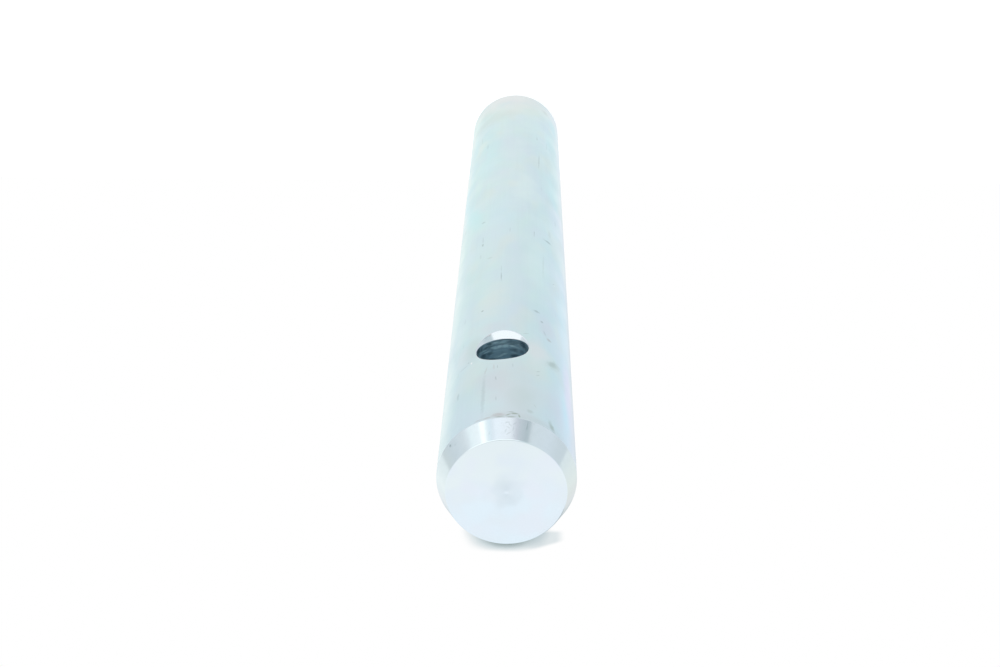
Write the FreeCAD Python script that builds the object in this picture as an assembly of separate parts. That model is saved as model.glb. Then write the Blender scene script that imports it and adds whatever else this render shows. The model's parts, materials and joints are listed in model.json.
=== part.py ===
"""Pivot pin: a plain round steel bar with a long lead-in chamfer at each end, and one
countersunk hole drilled right across it near one end, for the bolt that keeps it in place.

Millimetres. The pin stands on its plain end: +Z runs up the pin to the end with the cross
hole, the origin is the centre of the face that it stands on, and the cross hole lies along Y.
"""

import FreeCAD
import Part
import math
import os

# The bar
PIN_DIAMETER = 30.0
PIN_LENGTH = 245.0

# The turned lead-in at each end: a shallow cone, with its two edges lightly broken
LEAD_IN_LENGTH = 5.4
LEAD_IN_ANGLE = 22.0
FACE_EDGE_BREAK = 0.25
SHANK_EDGE_BREAK = 0.6

# The cross hole: drilled through the pin's axis, and countersunk at both mouths
CROSS_HOLE_DIAMETER = 12.0
CROSS_HOLE_FROM_END = 40.0
COUNTERSINK_DEPTH = 1.5
COUNTERSINK_INCLUDED_ANGLE = 90.0

# How far a cutting tool runs past the surface that it cuts
TOOL_OVERRUN = 5.0

PARTS_FOLDER = "parts"
NODE_NAME = "pivot_pin"

PIN_RADIUS = PIN_DIAMETER / 2
FACE_RADIUS = PIN_RADIUS - LEAD_IN_LENGTH * math.tan(math.radians(LEAD_IN_ANGLE))
CROSS_HOLE_RADIUS = CROSS_HOLE_DIAMETER / 2
CROSS_HOLE_HEIGHT = PIN_LENGTH - CROSS_HOLE_FROM_END
PIN_AXIS = FreeCAD.Vector(0, 0, 1)
FRONT = FreeCAD.Vector(0, -1, 0)
BACK = FreeCAD.Vector(0, 1, 0)


def turned_blank():
    """The bar as it leaves the lathe: half its section, turned once about the pin's axis."""
    half_section = [
        (0, 0),
        (FACE_RADIUS, 0),
        (PIN_RADIUS, LEAD_IN_LENGTH),
        (PIN_RADIUS, PIN_LENGTH - LEAD_IN_LENGTH),
        (FACE_RADIUS, PIN_LENGTH),
        (0, PIN_LENGTH),
    ]
    points = [FreeCAD.Vector(radius, 0, height) for radius, height in half_section]
    outline = Part.makePolygon(points + points[:1])
    return Part.Face(outline).revolve(FreeCAD.Vector(0, 0, 0), PIN_AXIS, 360)


def rings_of_radius(solid, radius):
    """The full circles of that radius about the pin's axis among the solid's edges."""
    found = []
    for edge in solid.Edges:
        is_ring = isinstance(edge.Curve, Part.Circle) and edge.isClosed()
        if is_ring and math.isclose(edge.Curve.Radius, radius, abs_tol=1e-6):
            found.append(edge)
    return found


def break_edges(blank):
    """Rounds the rim of both end faces, and the line where each lead-in meets the shank."""
    rounded = blank.makeFillet(SHANK_EDGE_BREAK, rings_of_radius(blank, PIN_RADIUS))
    return rounded.makeFillet(FACE_EDGE_BREAK, rings_of_radius(rounded, FACE_RADIUS))


def cross_drill():
    """The drill's path, right through the pin and past it on both sides."""
    start = FreeCAD.Vector(0, -PIN_RADIUS - TOOL_OVERRUN, CROSS_HOLE_HEIGHT)
    return Part.makeCylinder(CROSS_HOLE_RADIUS, 2 * (PIN_RADIUS + TOOL_OVERRUN), start, BACK)


def countersink(outward):
    """The countersinking tool at one mouth: a cone that widens outward from the drilled wall."""
    seat = FreeCAD.Vector(0, 0, CROSS_HOLE_HEIGHT) + outward * (PIN_RADIUS - COUNTERSINK_DEPTH)
    height = COUNTERSINK_DEPTH + TOOL_OVERRUN
    flare = height * math.tan(math.radians(COUNTERSINK_INCLUDED_ANGLE / 2))
    return Part.makeCone(CROSS_HOLE_RADIUS, CROSS_HOLE_RADIUS + flare, height, seat, outward)


def pivot_pin():
    """The finished pin, one solid."""
    cutters = [cross_drill(), countersink(FRONT), countersink(BACK)]
    drilled = break_edges(turned_blank()).cut(cutters)
    (solid,) = drilled.removeSplitter().Solids
    return solid


def main():
    """Writes the pin's STEP file and prints its main figures."""
    os.makedirs(PARTS_FOLDER, exist_ok=True)
    pin = pivot_pin()
    pin.exportStep(os.path.join(PARTS_FOLDER, NODE_NAME + ".step"))
    print(
        f"{NODE_NAME}: valid {pin.isValid()}, {len(pin.Faces)} faces, "
        f"{pin.Volume:.1f} mm3, face diameter {2 * FACE_RADIUS:.2f} mm"
    )


main()
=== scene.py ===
"""Looks of the pivot pin: a drawn steel bar with a bright, faintly blue zinc plate.

The pin is one piece of metal, so it is one piece here too. Its skin is made from the turned outline
and the drilled cross hole, with a finish for each way that the metal was worked: the drawn shank,
the turned lead-ins, the faced ends, the countersinks and the drilled bore.

Metres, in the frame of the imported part: the pin stands on its plain end, with +Z up its axis and the
cross hole along Y, near the top.
"""

import json
import logging
import math
from dataclasses import dataclass, field
from enum import Enum, IntEnum
from functools import reduce

import bpy
import numpy as np
from mathutils import Matrix, Vector


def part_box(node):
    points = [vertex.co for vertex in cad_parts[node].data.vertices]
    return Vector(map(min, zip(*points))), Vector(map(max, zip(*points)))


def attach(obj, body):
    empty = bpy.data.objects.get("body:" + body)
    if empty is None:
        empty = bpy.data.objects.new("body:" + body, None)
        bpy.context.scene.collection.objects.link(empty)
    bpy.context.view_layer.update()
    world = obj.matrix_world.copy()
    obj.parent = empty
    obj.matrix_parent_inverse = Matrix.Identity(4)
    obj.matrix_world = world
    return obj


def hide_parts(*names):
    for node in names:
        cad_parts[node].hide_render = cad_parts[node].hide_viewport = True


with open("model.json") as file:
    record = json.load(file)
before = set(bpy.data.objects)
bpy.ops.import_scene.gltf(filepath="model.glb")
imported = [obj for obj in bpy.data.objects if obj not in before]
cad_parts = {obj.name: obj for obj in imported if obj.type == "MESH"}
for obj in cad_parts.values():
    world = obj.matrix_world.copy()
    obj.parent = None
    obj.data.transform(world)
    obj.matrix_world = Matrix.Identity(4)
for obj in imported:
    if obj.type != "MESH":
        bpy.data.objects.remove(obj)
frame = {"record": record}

MM = 0.001
PER_MM = (1 / MM,) * 3
PIN_NODE = "pivot_pin"
PIN_BODY = "root"
WELD = 1e-7
FACETS = 256
FINE_RAGGEDNESS = 0.9
WHITE = (1.0, 1.0, 1.0)

Triple = tuple[float, float, float]
Colour = Triple
Stop = tuple[float, Colour]
Socket = bpy.types.NodeSocket
Outputs = bpy.types.bpy_prop_collection
Feed = Socket | float | tuple[float, ...]
Edge = tuple[Feed, float, float]

log = logging.getLogger("pivot_pin")


class Finish(IntEnum):
    """The finishes of the skin, in the order of the mesh's material slots."""

    SHANK = 0
    LEAD_IN = 1
    END_FACE = 2
    COUNTERSINK = 3
    BORE = 4


class Tone(Enum):
    """What marks lay over the metal by colour: plate hues, stains, rubs, painted glints on nicks and
    scored marks, painted shade.
    """

    TEAL = (0.51, 0.79, 0.83)
    SKY = (0.55, 0.82, 0.91)
    PALE = (0.72, 0.875, 0.88)
    STRAW = (0.70, 0.79, 0.75)
    MAUVE = (0.62, 0.69, 0.77)
    LILAC = (0.70, 0.75, 0.88)
    BLUSH = (0.71, 0.775, 0.795)
    ASH = (0.66, 0.74, 0.78)
    DULL = (0.54, 0.66, 0.65)
    RUB = (0.24, 0.33, 0.34)
    GREEN = (0.26, 0.34, 0.26)
    RUST = (0.42, 0.37, 0.36)
    # Near-white of a nick: a painted glint.
    NICK_GLINT = (0.93, 0.96, 0.97)
    SHADE = (0.05, 0.09, 0.12)
    # Lighter tone of scored drill marks, partly a painted highlight.
    SCORED_GLINT = (0.74, 0.96, 1.0)


@dataclass(frozen=True)
class PinSizes:
    """Sizes of the pin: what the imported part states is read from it, and the rest repeats its source."""

    radius: float
    length: float
    hole_radius: float
    hole_height: float
    lead_in_length: float = 5.4 * MM
    lead_in_angle: float = math.radians(22.0)
    face_edge_break: float = 0.25 * MM
    shank_edge_break: float = 0.6 * MM
    countersink_depth: float = 1.5 * MM
    countersink_half_angle: float = math.radians(45.0)

    @classmethod
    def from_frame(cls, record: dict) -> "PinSizes":
        """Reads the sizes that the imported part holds.

        Args:
            record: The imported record.

        Returns:
            The pin's sizes.
        """
        low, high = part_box(PIN_NODE)
        hole = next(m for m in record["mounts"] if m["name"] == "cross_hole")
        return cls(
            radius=(high.x - low.x) / 2,
            length=high.z - low.z,
            hole_radius=hole["dims"]["r_mm"] * MM,
            hole_height=hole["pos_m"][2],
        )

    @property
    def face_radius(self) -> float:
        """Radius of the end faces, measured to the sharp corner before it is broken."""
        return self.radius - self.lead_in_length * math.tan(self.lead_in_angle)

    @property
    def seat_depth(self) -> float:
        """Distance from the pin's axis at which the countersink meets the drilled bore."""
        return self.radius - self.countersink_depth


@dataclass
class Skin:
    """Patches of the pin's surface, gathered until they are welded into one mesh."""

    points: list[np.ndarray] = field(default_factory=list)
    normals: list[np.ndarray] = field(default_factory=list)
    quads: list[np.ndarray] = field(default_factory=list)
    finishes: list[np.ndarray] = field(default_factory=list)
    total: int = 0

    def add(self, points: np.ndarray, normals: np.ndarray, finish: Finish, closed: bool = True) -> None:
        """Adds a patch, seen from outside with its columns running to the right and its rows up.

        Args:
            points: Rows by columns of points.
            normals: The surface's own normal at each point.
            finish: What the patch is finished in.
            closed: Whether the last column joins the first.
        """
        rows, columns = points.shape[:2]
        grid = np.arange(rows * columns).reshape(rows, columns) + self.total
        if closed:
            grid = np.hstack([grid, grid[:, :1]])
        corners = [grid[:-1, :-1], grid[:-1, 1:], grid[1:, 1:], grid[1:, :-1]]
        quads = np.stack(corners, axis=-1).reshape(-1, 4)
        self.points.append(points.reshape(-1, 3))
        self.normals.append(normals.reshape(-1, 3))
        self.quads.append(quads)
        self.finishes.append(np.full(len(quads), int(finish)))
        self.total += rows * columns

    def weld(self, name: str) -> bpy.types.Object:
        """Welds the patches where they meet, and keeps each patch's own normals at its corners.

        Args:
            name: Name of the object and its mesh.

        Returns:
            The welded object, linked to the scene.
        """
        points = np.concatenate(self.points)
        normals = np.concatenate(self.normals)
        keys = np.round(points / WELD).astype(np.int64)
        _, first, welded = np.unique(keys, axis=0, return_index=True, return_inverse=True)
        welded = welded.reshape(-1)
        faces, finishes, corner_normals = [], [], []
        for quad, finish in zip(np.concatenate(self.quads), np.concatenate(self.finishes)):
            corners = [c for i, c in enumerate(quad) if welded[c] != welded[quad[i - 1]]]
            if len(corners) > 2:
                faces.append([int(welded[c]) for c in corners])
                finishes.append(int(finish))
                corner_normals.extend(normals[corners])
        mesh = bpy.data.meshes.new(name)
        mesh.from_pydata(points[first].tolist(), [], faces)
        mesh.polygons.foreach_set("material_index", finishes)
        mesh.polygons.foreach_set("use_smooth", [True] * len(faces))
        mesh.normals_split_custom_set([n.tolist() for n in corner_normals])
        made = bpy.data.objects.new(name, mesh)
        bpy.context.scene.collection.objects.link(made)
        return made


@dataclass(frozen=True)
class OutlinePoint:
    """One point of the turned outline: distance off the axis, height, and the outward normal there."""

    off_axis: float
    height: float
    normal_out: float
    normal_up: float


@dataclass(frozen=True)
class TurnedBar:
    """The bar as it leaves the lathe, apart from the stretch of shank round the cross hole."""

    sizes: PinSizes
    facets: int = FACETS
    face_rings: int = 12
    corner_steps: int = 5
    lead_in_rows: int = 6
    row_height: float = 2.5 * MM
    dimple_radius: float = 0.4 * MM
    dimple_depth: float = 0.02 * MM
    dimple_rings: tuple[float, ...] = (0.0, 0.25, 0.5, 0.75, 1.0, 1.4, 1.9, 2.6)

    def corner(
        self, off_axis: float, height: float, before: float, after: float, size: float
    ) -> list[OutlinePoint]:
        """Rounds a corner of the outline.

        Args:
            off_axis: The sharp corner's distance off the axis.
            height: The sharp corner's height.
            before: Slope of the outward normal before the corner, as an angle up from straight out.
            after: The same after the corner.
            size: Radius of the rounding.

        Returns:
            Points along the rounding, from one tangent point to the other.
        """
        reach = size / (1 + math.cos(after - before))
        middle_off = off_axis - reach * (math.cos(before) + math.cos(after))
        middle_up = height - reach * (math.sin(before) + math.sin(after))
        slopes = np.linspace(before, after, self.corner_steps)
        return [
            OutlinePoint(
                middle_off + size * math.cos(slope),
                middle_up + size * math.sin(slope),
                math.cos(slope),
                math.sin(slope),
            )
            for slope in slopes
        ]

    def bottom_end(self) -> list[tuple[Finish, list[OutlinePoint]]]:
        """Outline of the lower end, from the axis to the foot of the shank.

        Returns:
            The outline's stretches with their finishes, in order.
        """
        s = self.sizes
        face, cone, shank = -math.pi / 2, -s.lead_in_angle, 0.0
        rim = self.corner(s.face_radius, 0.0, face, cone, s.face_edge_break)
        shoulder = self.corner(s.radius, s.lead_in_length, cone, shank, s.shank_edge_break)
        dimple = [self.dimple_radius * share for share in self.dimple_rings]
        rings = dimple + list(np.linspace(dimple[-1], rim[0].off_axis, self.face_rings))[1:]
        flat = [self.dimple_point(r) for r in rings[:-1]] + [rim[0]]
        slope = [
            OutlinePoint(
                rim[-1].off_axis + share * (shoulder[0].off_axis - rim[-1].off_axis),
                rim[-1].height + share * (shoulder[0].height - rim[-1].height),
                math.cos(cone),
                math.sin(cone),
            )
            for share in np.linspace(0.0, 1.0, self.lead_in_rows)
        ]
        return [
            (Finish.END_FACE, flat),
            (Finish.END_FACE, rim),
            (Finish.LEAD_IN, slope),
            (Finish.LEAD_IN, shoulder),
        ]

    def dimple_point(self, off_axis: float) -> OutlinePoint:
        """A point of the lower face, with the small hollow that the facing tool leaves at its centre.

        Args:
            off_axis: The point's distance off the axis.

        Returns:
            The point, with its normal leaning to the axis inside the hollow.
        """
        depth = self.dimple_depth * math.exp(-((off_axis / self.dimple_radius) ** 2))
        slope = -2 * off_axis / self.dimple_radius**2 * depth
        steep = math.hypot(slope, 1.0)
        return OutlinePoint(off_axis, depth, slope / steep, -1 / steep)

    def turn(self, outline: list[OutlinePoint]) -> tuple[np.ndarray, np.ndarray]:
        """Turns a stretch of outline about the pin's axis.

        Args:
            outline: Points along the stretch.

        Returns:
            Rows by facets of points, and of normals.
        """
        around = np.arange(self.facets) * 2 * math.pi / self.facets
        return self.turn_part(outline, around)

    @staticmethod
    def turn_part(outline: list[OutlinePoint], around: np.ndarray) -> tuple[np.ndarray, np.ndarray]:
        """Turns a stretch of outline through the given angles, counted from the front, -Y.

        Args:
            outline: Points along the stretch.
            around: Angles about the axis.

        Returns:
            Rows by angles of points, and of normals.
        """
        points = [TurnedBar.ring(p.off_axis, p.height, around) for p in outline]
        normals = [TurnedBar.ring(p.normal_out, p.normal_up, around) for p in outline]
        return np.array(points), np.array(normals)

    @staticmethod
    def ring(out: float, up: float, around: np.ndarray) -> np.ndarray:
        """Vectors about the axis that reach out from it and up by the given lengths."""
        return np.stack([out * np.sin(around), -out * np.cos(around), np.full_like(around, up)], -1)

    def shank_rows(self, low: float, high: float, rows: int) -> list[OutlinePoint]:
        """A straight stretch of shank between two heights, in that many rows."""
        return [OutlinePoint(self.sizes.radius, z, 1.0, 0.0) for z in np.linspace(low, high, rows + 1)]

    def add_to(self, skin: Skin, hole: "CrossHole") -> None:
        """Adds both ends, the shank's full rings, and its strips beside the cross hole.

        Args:
            skin: Where the patches go.
            hole: The cross hole, which makes the shank inside its own two windows.
        """
        bottom = self.bottom_end()
        for finish, outline in bottom:
            skin.add(*self.turn(outline), finish)
            raised = [
                OutlinePoint(p.off_axis, self.sizes.length - p.height, p.normal_out, -p.normal_up)
                for p in reversed(outline)
            ]
            skin.add(*self.turn(raised), finish)
        foot = bottom[-1][1][-1].height
        low, high = hole.levels[0], hole.levels[-1]
        for start, end in ((foot, low), (high, self.sizes.length - foot)):
            rows = max(2, round((end - start) / self.row_height))
            skin.add(*self.turn(self.shank_rows(start, end, rows)), Finish.SHANK)
        beside = self.shank_rows(low, high, len(hole.levels) - 1)
        quarter = self.facets // 4
        half = hole.half_columns
        for centre in (quarter, 3 * quarter):
            columns = np.arange(centre - quarter + half, centre + quarter - half + 1)
            around = columns * 2 * math.pi / self.facets
            skin.add(*self.turn_part(beside, around), Finish.SHANK, closed=False)


@dataclass(frozen=True)
class CrossHole:
    """The drilled cross hole: its two countersunk mouths, the shank round them, and the bore."""

    sizes: PinSizes
    facets: int = FACETS
    window_half_height: float = 12 * MM
    window_rows: int = 16
    window_crowding: float = 0.8
    mouth_rounds: int = 60
    mouth_break: float = 0.12 * MM
    seat_break: float = 0.08 * MM
    break_limit: float = 0.35
    break_rows: int = 4
    cone_rows: int = 4
    bore_rows: int = 96
    ridge_height: float = 0.035 * MM
    ridge_fade: float = 0.8 * MM
    ridge_lead: float = 0.5 * MM
    ridge_waves: tuple[Triple, ...] = (
        (2.9 * MM, 0.3, 0.42),
        (1.7 * MM, 1.9, 0.33),
        (1.05 * MM, 4.1, 0.25),
    )

    @property
    def half_columns(self) -> int:
        """Columns of the shank from the middle of a mouth's window to its side."""
        return self.facets // 8

    @property
    def levels(self) -> np.ndarray:
        """Heights of the shank's rows across a window."""
        middle, half = self.sizes.hole_height, self.window_half_height
        return np.linspace(middle - half, middle + half, 2 * self.half_columns + 1)

    @property
    def turn(self) -> np.ndarray:
        """Angles about the hole's axis, counter-clockwise seen from outside, from the right."""
        return np.arange(self.facets) * 2 * math.pi / self.facets

    def window_edge(self) -> tuple[np.ndarray, np.ndarray]:
        """Follows the edge of a window counter-clockwise from the middle of its right side.

        Returns:
            Distances along the shank's girth from the window's middle, and heights.
        """
        half = self.half_columns
        side = list(range(-half, half))
        columns = [half] * half + [-c for c in side] + [-half] * 2 * half + side + [half] * half
        rows = list(range(half)) + [half] * 2 * half + [-c for c in side] + [-half] * 2 * half
        rows += list(range(-half, 0))
        girth = np.array(columns) * 2 * math.pi / self.facets * self.sizes.radius
        return girth, self.levels[np.array(rows) + half]

    def mouth(self) -> np.ndarray:
        """Finds where the countersink meets the shank, by closing in on it.

        Returns:
            Distances from the hole's axis, all round.
        """
        s = self.sizes
        reach = np.full(self.facets, s.hole_radius)
        for _ in range(self.mouth_rounds):
            depth = np.sqrt(s.radius**2 - (reach * np.cos(self.turn)) ** 2)
            reach = s.hole_radius + (depth - s.seat_depth) * math.tan(s.countersink_half_angle)
        return reach

    def on_shank(self, girth: np.ndarray, height: np.ndarray) -> tuple[np.ndarray, np.ndarray]:
        """Places on the front of the shank.

        Args:
            girth: Distances along its girth, from the hole's middle.
            height: Heights.

        Returns:
            The points there, and their normals.
        """
        around = girth / self.sizes.radius
        normal = np.stack([np.sin(around), -np.cos(around), around * 0], -1)
        points = normal * self.sizes.radius
        points[..., 2] = height
        return points, normal

    def from_hole_axis(self, reach: np.ndarray, depth: np.ndarray) -> np.ndarray:
        """Points at a distance from the hole's axis, and at a depth from the pin's axis, to the front."""
        height = self.sizes.hole_height + reach * np.sin(self.turn)
        return np.stack([reach * np.cos(self.turn), -depth + reach * 0, height], -1)

    def on_cone(self, reach: np.ndarray) -> np.ndarray:
        """Points of the front countersink.

        Args:
            reach: Their distances from the hole's axis.

        Returns:
            The points.
        """
        beyond = reach - self.sizes.hole_radius
        depth = self.sizes.seat_depth + beyond / math.tan(self.sizes.countersink_half_angle)
        return self.from_hole_axis(reach, depth)

    @staticmethod
    def rounded(start: np.ndarray, corner: np.ndarray, end: np.ndarray, steps: int) -> np.ndarray:
        """Rows of points that round a corner from the start row to the end row, in that many steps."""
        shares = np.linspace(0.0, 1.0, steps)[:, None, None]
        return (1 - shares) ** 2 * start + 2 * shares * (1 - shares) * corner + shares**2 * end

    @staticmethod
    def blended(start: np.ndarray, end: np.ndarray, steps: int) -> np.ndarray:
        """Turns normals from one row to another.

        Args:
            start: The first row.
            end: The last row.
            steps: How many rows there are.

        Returns:
            The rows of unit normals.
        """
        shares = np.linspace(0.0, 1.0, steps)[:, None, None]
        mixed = (1 - shares) * start + shares * end
        return mixed / np.linalg.norm(mixed, axis=-1, keepdims=True)

    def add_mouth(self, skin: Skin, side: int) -> None:
        """Adds one countersunk mouth with the shank round it.

        Args:
            skin: Where the patches go.
            side: 1 for the front mouth, -1 for the back one.
        """
        s = self.sizes
        half_angle = s.countersink_half_angle
        reach = self.mouth()
        edge_break = np.minimum(self.mouth_break, self.break_limit * (reach - s.hole_radius))
        radial = np.stack([np.cos(self.turn), self.turn * 0, np.sin(self.turn)], -1)
        outwards = np.array([0.0, -1.0, 0.0])
        cone_normal = -math.cos(half_angle) * radial + math.sin(half_angle) * outwards
        bore_normal = -radial

        across = reach * np.cos(self.turn)
        up = reach * np.sin(self.turn)
        girth = s.radius * np.arcsin(across / s.radius)
        away = np.hypot(girth, up)
        outer_girth = girth * (1 + edge_break / away)
        outer_height = s.hole_height + up * (1 + edge_break / away)
        window_girth, window_height = self.window_edge()
        shares = (np.linspace(0.0, 1.0, self.window_rows + 1) ** self.window_crowding)[:, None]
        shank, shank_normal = self.on_shank(
            window_girth + shares * (outer_girth - window_girth),
            window_height + shares * (outer_height - window_height),
        )

        inner = reach - edge_break * math.sin(half_angle)
        seat_break = np.minimum(self.seat_break, self.break_limit * (inner - s.hole_radius))
        low = s.hole_radius + seat_break * math.sin(half_angle)
        seat = np.full(self.facets, s.hole_radius)
        steps = self.break_rows
        down = np.linspace(0.0, 1.0, self.cone_rows + 1)
        skin_rows = [
            (shank, shank_normal, Finish.SHANK),
            (
                self.rounded(shank[-1], self.on_cone(reach), self.on_cone(inner), steps),
                self.blended(shank_normal[-1], cone_normal, steps),
                Finish.COUNTERSINK,
            ),
            (
                np.array([self.on_cone(inner + share * (low - inner)) for share in down]),
                np.array([cone_normal] * len(down)),
                Finish.COUNTERSINK,
            ),
            (
                self.rounded(self.on_cone(low), self.on_cone(seat), self.bore_end(), steps),
                self.blended(cone_normal, bore_normal, steps),
                Finish.COUNTERSINK,
            ),
        ]
        turned = np.array([side, side, 1.0])
        for points, normals, finish in skin_rows:
            skin.add(points * turned, normals * turned, finish)

    def bore_end(self) -> np.ndarray:
        """The ring at which the bore's wall begins, just inside the front seat."""
        reach = np.full(self.facets, self.sizes.hole_radius)
        return self.from_hole_axis(reach, self.sizes.seat_depth - self.seat_break)

    def ridges(self, depth: np.ndarray) -> tuple[np.ndarray, np.ndarray]:
        """The drill's feed marks: rings that run slightly askew, and fade out towards both mouths.

        Args:
            depth: Depths along the hole, from the pin's axis to the front.

        Returns:
            How far the wall is cut back beyond the hole's radius, and its slope along the hole.
        """
        place = depth + self.ridge_lead * np.sin(self.turn)
        cut = np.zeros_like(place)
        slope = np.zeros_like(place)
        for pitch, phase, share in self.ridge_waves:
            angle = 2 * math.pi * place / pitch + phase
            cut += share * self.ridge_height * (1 + np.sin(angle)) / 2
            slope += share * self.ridge_height * np.cos(angle) * math.pi / pitch
        ends = self.sizes.seat_depth - self.seat_break - np.abs(depth)
        fade = np.clip(ends / self.ridge_fade, 0.0, 1.0)
        return cut * fade, slope * fade

    def add_bore(self, skin: Skin) -> None:
        """Adds the bore's wall, from the front seat right through to the back one.

        Args:
            skin: Where the patch goes.
        """
        limit = self.sizes.seat_depth - self.seat_break
        points, normals = [], []
        for level in np.linspace(limit, -limit, self.bore_rows + 1):
            depth = np.full(self.facets, level)
            cut, slope = self.ridges(depth)
            points.append(self.from_hole_axis(self.sizes.hole_radius + cut, depth))
            normal = np.stack([-np.cos(self.turn), -slope, -np.sin(self.turn)], -1)
            normals.append(normal / np.linalg.norm(normal, axis=-1, keepdims=True))
        skin.add(np.array(points), np.array(normals), Finish.BORE)

    def add_to(self, skin: Skin) -> None:
        """Adds both mouths and the bore.

        Args:
            skin: Where the patches go.
        """
        for side in (1, -1):
            self.add_mouth(skin, side)
        self.add_bore(skin)


class Sheet:
    """A node tree, with short ways to place its nodes and join them."""

    def __init__(self, tree: bpy.types.NodeTree) -> None:
        """Takes over an empty tree."""
        self.tree = tree

    @classmethod
    def of(cls, owner: bpy.types.Material | bpy.types.World) -> "Sheet":
        """Clears the nodes of a material or a world.

        Args:
            owner: The material or the world.

        Returns:
            Its sheet.
        """
        owner.use_nodes = True
        owner.node_tree.nodes.clear()
        return cls(owner.node_tree)

    def feed(self, socket: Socket, value: Feed) -> None:
        """Links a socket to another, or sets its value.

        Args:
            socket: The socket to feed.
            value: Another socket, or a number, a colour or a vector.
        """
        if isinstance(value, Socket):
            self.tree.links.new(value, socket)
        elif isinstance(value, tuple) and socket.type == "RGBA" and len(value) == 3:
            socket.default_value = (*value, 1.0)
        else:
            socket.default_value = value

    def node(
        self, kind: str, inputs: dict[str | int, Feed] | None = None, **settings: object
    ) -> bpy.types.Node:
        """Places a node.

        Args:
            kind: The node's type, without its ShaderNode prefix.
            inputs: What goes into its sockets, by name or number.
            **settings: Its own properties.

        Returns:
            The node.
        """
        made = self.tree.nodes.new("ShaderNode" + kind)
        for name, value in settings.items():
            setattr(made, name, value)
        for key, value in (inputs or {}).items():
            self.feed(made.inputs[key], value)
        return made

    def math(self, operation: str, *values: Feed) -> Socket:
        """One step of arithmetic on numbers."""
        return self.node("Math", dict(enumerate(values)), operation=operation).outputs[0]

    def times(self, *values: Feed) -> Socket:
        """The product of several numbers."""
        return reduce(lambda first, second: self.math("MULTIPLY", first, second), values)

    def plus(self, *values: Feed) -> Socket:
        """The sum of several numbers."""
        return reduce(lambda first, second: self.math("ADD", first, second), values)

    def minus(self, first: Feed, second: Feed) -> Socket:
        """The first number less the second."""
        return self.math("SUBTRACT", first, second)

    def most(self, *values: Feed) -> Socket:
        """The greatest of several numbers."""
        return reduce(lambda first, second: self.math("MAXIMUM", first, second), values)

    def dot(self, first: Feed, second: Feed) -> Socket:
        """The dot product of two vectors."""
        return self.node("VectorMath", {0: first, 1: second}, operation="DOT_PRODUCT").outputs["Value"]

    def stretch(self, vector: Feed, factors: Triple) -> Socket:
        """A vector multiplied part by part."""
        return self.node("VectorMath", {0: vector, 1: factors}, operation="MULTIPLY").outputs["Vector"]

    def remap(
        self, value: Feed, low: Feed, high: Feed, to_low: Feed = 0.0, to_high: Feed = 1.0
    ) -> Socket:
        """Eases a value from one range to another, and holds it at the ends."""
        inputs = {"Value": value, "From Min": low, "From Max": high, "To Min": to_low, "To Max": to_high}
        return self.node("MapRange", inputs, interpolation_type="SMOOTHSTEP").outputs["Result"]

    def within(self, *edges: Edge) -> Socket:
        """The product of eased edges, each a value with where it gives 0 and where it gives 1."""
        return self.times(*(self.remap(value, nothing, full) for value, nothing, full in edges))

    def blend(self, share: Feed, first: Feed, second: Feed, way: str = "MIX") -> Socket:
        """Blends two colours."""
        inputs = {0: share, 6: first, 7: second}
        return self.node("Mix", inputs, data_type="RGBA", blend_type=way).outputs[2]

    def noise(self, vector: Feed, scale: Feed, detail: float = 2.0, roughness: float = 0.5) -> Socket:
        """Smooth noise from 0 to 1, at the scale that the vector has."""
        inputs = {"Vector": vector, "Scale": scale, "Detail": detail, "Roughness": roughness}
        return self.node("TexNoise", inputs).outputs["Fac"]

    def line_noise(self, place: Feed, scale: float, detail: float) -> Socket:
        """Smooth noise from 0 to 1 along a line."""
        inputs = {"W": place, "Scale": scale, "Detail": detail}
        return self.node("TexNoise", inputs, noise_dimensions="1D").outputs["Fac"]

    def ramp(self, value: Feed, stops: tuple[Stop, ...]) -> Socket:
        """Colours along a value from 0 to 1.

        Args:
            value: The value.
            stops: Places along it and their colours, in order.

        Returns:
            The colour.
        """
        node = self.node("ValToRGB", {"Fac": value})
        elements = node.color_ramp.elements
        while len(elements) > 1:
            elements.remove(elements[0])
        for number, (place, colour) in enumerate(stops):
            element = elements[0] if number == 0 else elements.new(place)
            element.position = place
            element.color = (*colour, 1.0)
        return node.outputs["Color"]


class EffectGroup:
    """A shader node group: an effect that is built once and placed in several materials."""

    def __init__(self, name: str, takes: dict[str, str], gives: dict[str, str]) -> None:
        """Makes the group and its sockets.

        Args:
            name: The group's name.
            takes: Kind of each input socket, by name.
            gives: Kind of each output socket, by name.
        """
        self.tree = bpy.data.node_groups.new(name, "ShaderNodeTree")
        for sockets, way in ((takes, "INPUT"), (gives, "OUTPUT")):
            for socket, kind in sockets.items():
                self.tree.interface.new_socket(socket, in_out=way, socket_type="NodeSocket" + kind)
        self.sheet = Sheet(self.tree)
        self.taken = self.tree.nodes.new("NodeGroupInput").outputs
        self.given = self.tree.nodes.new("NodeGroupOutput").inputs

    def give(self, name: str, value: Socket) -> None:
        """Links a value to one of the group's outputs."""
        self.sheet.feed(self.given[name], value)

    def place(self, sheet: Sheet, inputs: dict[str, Feed]) -> Outputs:
        """Places the group in a material.

        Args:
            sheet: The material's sheet.
            inputs: What goes into the group's sockets.

        Returns:
            The placed group's outputs.
        """
        placed = sheet.tree.nodes.new("ShaderNodeGroup")
        placed.node_tree = self.tree
        for name, value in inputs.items():
            sheet.feed(placed.inputs[name], value)
        return placed.outputs


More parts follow.
